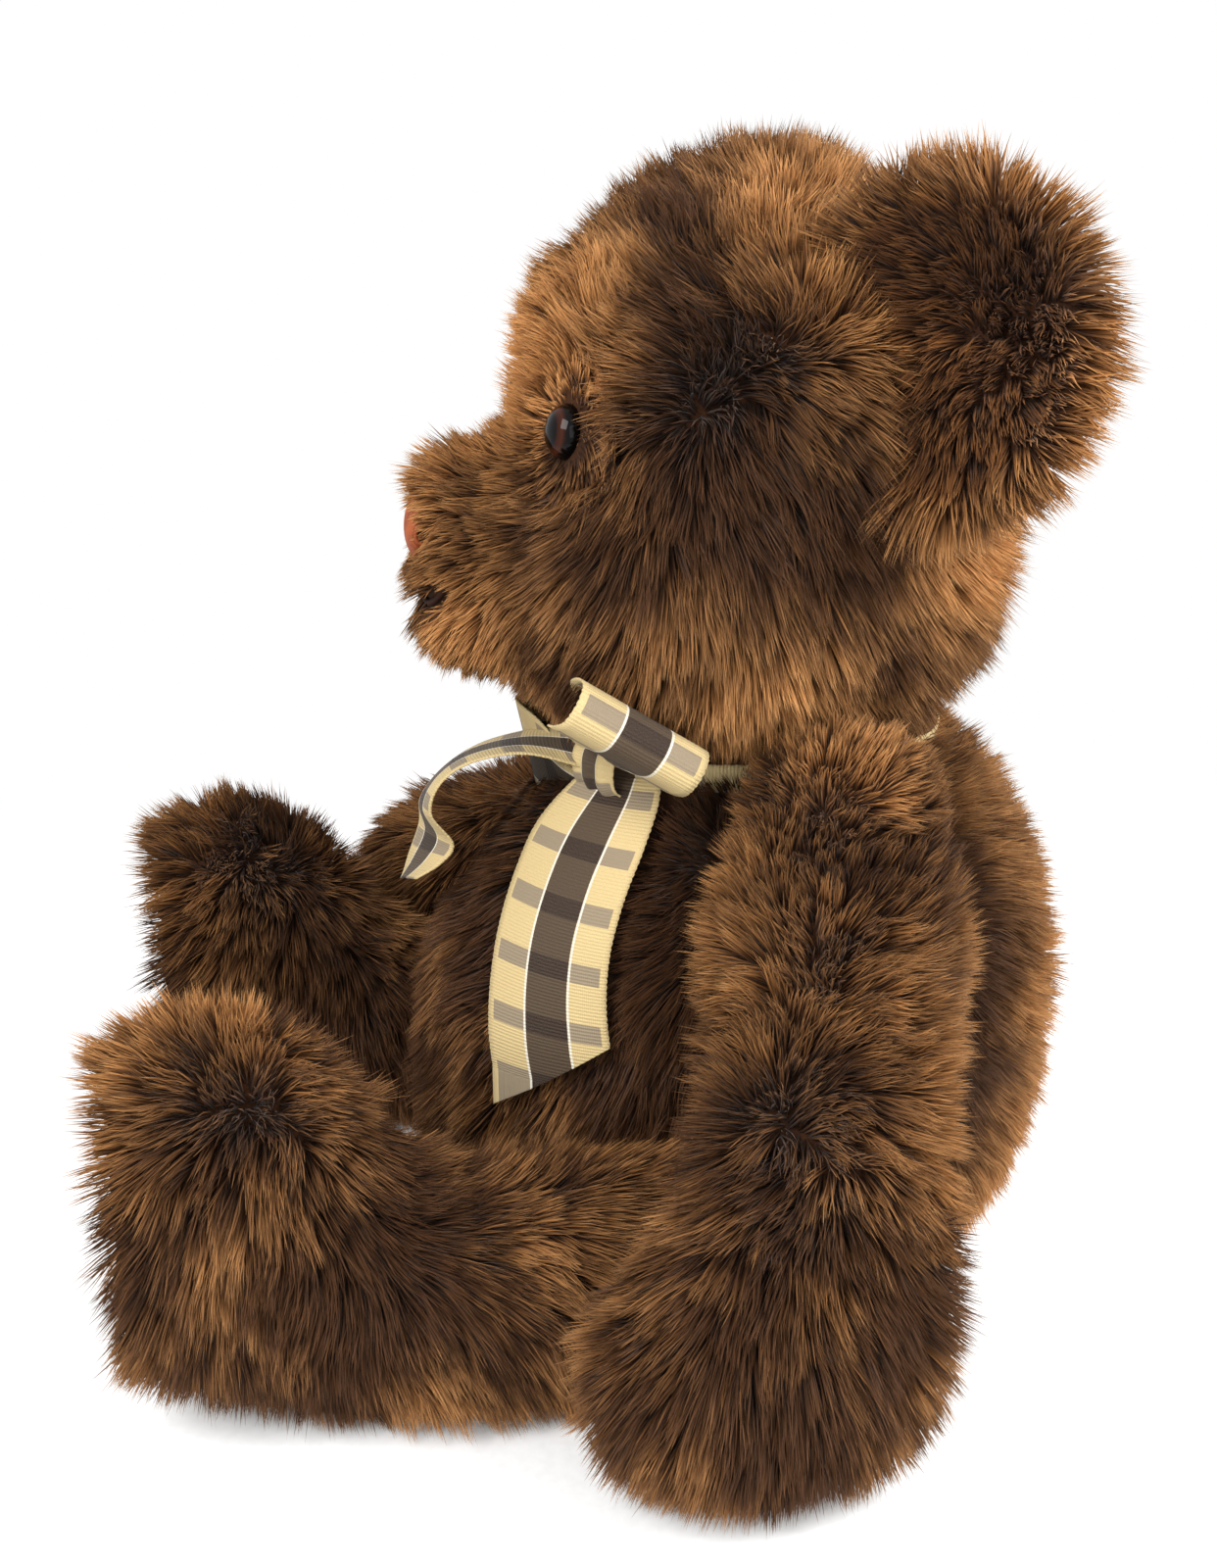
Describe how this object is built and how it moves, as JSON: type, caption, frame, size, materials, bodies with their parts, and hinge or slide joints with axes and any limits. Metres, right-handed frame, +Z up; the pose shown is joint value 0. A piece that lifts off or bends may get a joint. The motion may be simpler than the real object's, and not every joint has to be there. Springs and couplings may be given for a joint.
{
  "type": "jointed teddy bear",
  "caption": "Sitting plush teddy bear with disc-jointed head, arms and legs, large round ears, short muzzle, stitched nose, domed eyes and a plaid ribbon bow at the throat.",
  "frame": {"origin": "middle of the flat seat under the torso, on the floor, on the bear's mid-plane", "axes": "+Z up, the bear faces -Y, its own left side is +X"},
  "size_m": [0.2655, 0.227, 0.2651],
  "materials": {
    "plush": "long brown pile on a woven back",
    "pad": "short brushed suede cloth",
    "ribbon": "woven plaid ribbon",
    "filling": "polyester fibre",
    "eye": "polished",
    "nose_thread": "satin stitched thread",
    "hardboard": "pressed board",
    "steel": "zinc plated"
  },
  "bodies": {
    "torso": {"bow_knot": "ribbon", "bow_loop_left": "ribbon", "bow_loop_right": "ribbon", "bow_tail_left": "ribbon", "bow_tail_right": "ribbon", "joint_bolts": "steel", "lock_nuts": "steel", "neck_ribbon": "ribbon", "torso_cover_left": "plush", "torso_cover_right": "plush", "torso_disc_arm_left": "hardboard", "torso_disc_arm_right": "hardboard", "torso_disc_leg_left": "hardboard", "torso_disc_leg_right": "hardboard", "torso_disc_neck": "hardboard", "torso_filling": "filling", "torso_washers": "steel"},
    "head": {"ear_left_back": "plush", "ear_left_front": "plush", "ear_right_back": "plush", "ear_right_front": "plush", "eye_left": "eye", "eye_right": "eye", "eye_washers": "steel", "head_cover_left": "plush", "head_cover_right": "plush", "head_disc": "hardboard", "head_filling": "filling", "head_gusset": "plush", "head_washer": "steel", "nose": "nose_thread"},
    "arm_left": {"arm_left_disc": "hardboard", "arm_left_filling": "filling", "arm_left_inner": "plush", "arm_left_outer": "plush", "arm_left_paw_pad": "pad", "arm_left_washer": "steel"},
    "arm_right": {"arm_right_disc": "hardboard", "arm_right_filling": "filling", "arm_right_inner": "plush", "arm_right_outer": "plush", "arm_right_paw_pad": "pad", "arm_right_washer": "steel"},
    "leg_left": {"leg_left_disc": "hardboard", "leg_left_filling": "filling", "leg_left_inner": "plush", "leg_left_outer": "plush", "leg_left_sole": "pad", "leg_left_washer": "steel"},
    "leg_right": {"leg_right_disc": "hardboard", "leg_right_filling": "filling", "leg_right_inner": "plush", "leg_right_outer": "plush", "leg_right_sole": "pad", "leg_right_washer": "steel"}
  },
  "joints": [
    {"name": "neck_turn", "type": "hinge", "parent": "torso", "child": "head", "pos_m": [0, 0, 0.139], "axis": [0, 0, 1], "continuous": true},
    {"name": "arm_left_swing", "type": "hinge", "parent": "torso", "child": "arm_left", "pos_m": [0.0429, 0.01, 0.112], "axis": [0.9397, 0, 0.342], "range_deg": [-72, 58]},
    {"name": "arm_right_swing", "type": "hinge", "parent": "torso", "child": "arm_right", "pos_m": [-0.0429, 0.01, 0.112], "axis": [-0.9397, 0, 0.342], "range_deg": [-84, 76]},
    {"name": "leg_left_swing", "type": "hinge", "parent": "torso", "child": "leg_left", "pos_m": [0.038, 0.002, 0.026], "axis": [1, 0, 0], "range_deg": [0, 90]},
    {"name": "leg_right_swing", "type": "hinge", "parent": "torso", "child": "leg_right", "pos_m": [-0.038, 0.002, 0.026], "axis": [-1, 0, 0], "range_deg": [-90, 0]}
  ]
}
